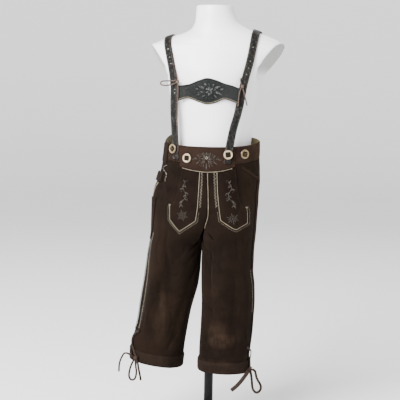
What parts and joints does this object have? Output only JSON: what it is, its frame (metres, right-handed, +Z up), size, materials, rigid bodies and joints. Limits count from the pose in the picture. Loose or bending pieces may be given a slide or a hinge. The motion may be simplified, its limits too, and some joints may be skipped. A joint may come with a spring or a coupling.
{
  "type": "lederhosen on a dress form",
  "caption": "Knee-length suede lederhosen with a piped drop front, knee laces and H-front leather braces, worn on a limbless white dress form on a pole stand with a round foot.",
  "frame": {"origin": "middle of the stand's foot, on the surface it stands on", "axes": "+Z up along the pole, -Y the way the form faces, +X the form's own left"},
  "size_m": [0.364, 0.236, 0.984],
  "materials": {
    "suede": "napped suede, dark brown, soft and matt",
    "suede_band": "napped suede, dark reddish brown, matt",
    "piping": "thin cream leather piping, satin",
    "strap": "smooth grained leather, dark green-grey, satin",
    "horn": "cream imitation horn, polished, dark square inlay",
    "thong": "plain brown leather thong, satin",
    "form": "moulded shell, white, satin",
    "stand": "powder coated, near black, satin"
  },
  "bodies": {
    "root": {"back_left": "suede", "back_right": "suede", "brace_left": "strap", "brace_right": "strap", "button_back_left": "horn", "button_back_right": "horn", "button_flap_left": "horn", "button_flap_right": "horn", "button_waist_left": "horn", "button_waist_right": "horn", "chest_strap": "strap", "flap_band": "suede_band", "front_left": "suede", "front_right": "suede", "hem_band_left": "suede_band", "hem_band_right": "suede_band", "hip_lace": "thong", "hip_tab": "strap", "knife_pocket": "suede", "knot_lace_left": "thong", "knot_lace_right": "thong", "knot_thong_left": "thong", "knot_thong_right": "thong", "lace_left_loop": "thong", "lace_left_strip": "thong", "lace_left_tie": "thong", "lace_right_end": "thong", "lace_right_free": "thong", "lace_right_loop": "thong", "lace_right_tie": "thong", "leaf_left": "suede", "leaf_right": "suede", "piping_centre": "piping", "piping_flap": "piping", "piping_leaf_left": "piping", "piping_leaf_right": "piping", "pocket_flap_right": "suede_band", "pocket_welt_left": "suede_band", "side_welt_left": "suede", "side_welt_right": "suede", "side_welt_right_top": "piping", "stand_foot": "stand", "stand_pole": "stand", "thong_left_inner": "thong", "thong_left_outer": "thong", "thong_left_top": "thong", "thong_right_end": "thong", "thong_right_loop": "thong", "torso_form": "form", "waistband_left": "suede_band", "waistband_right": "suede_band"}
  },
  "joints": []
}
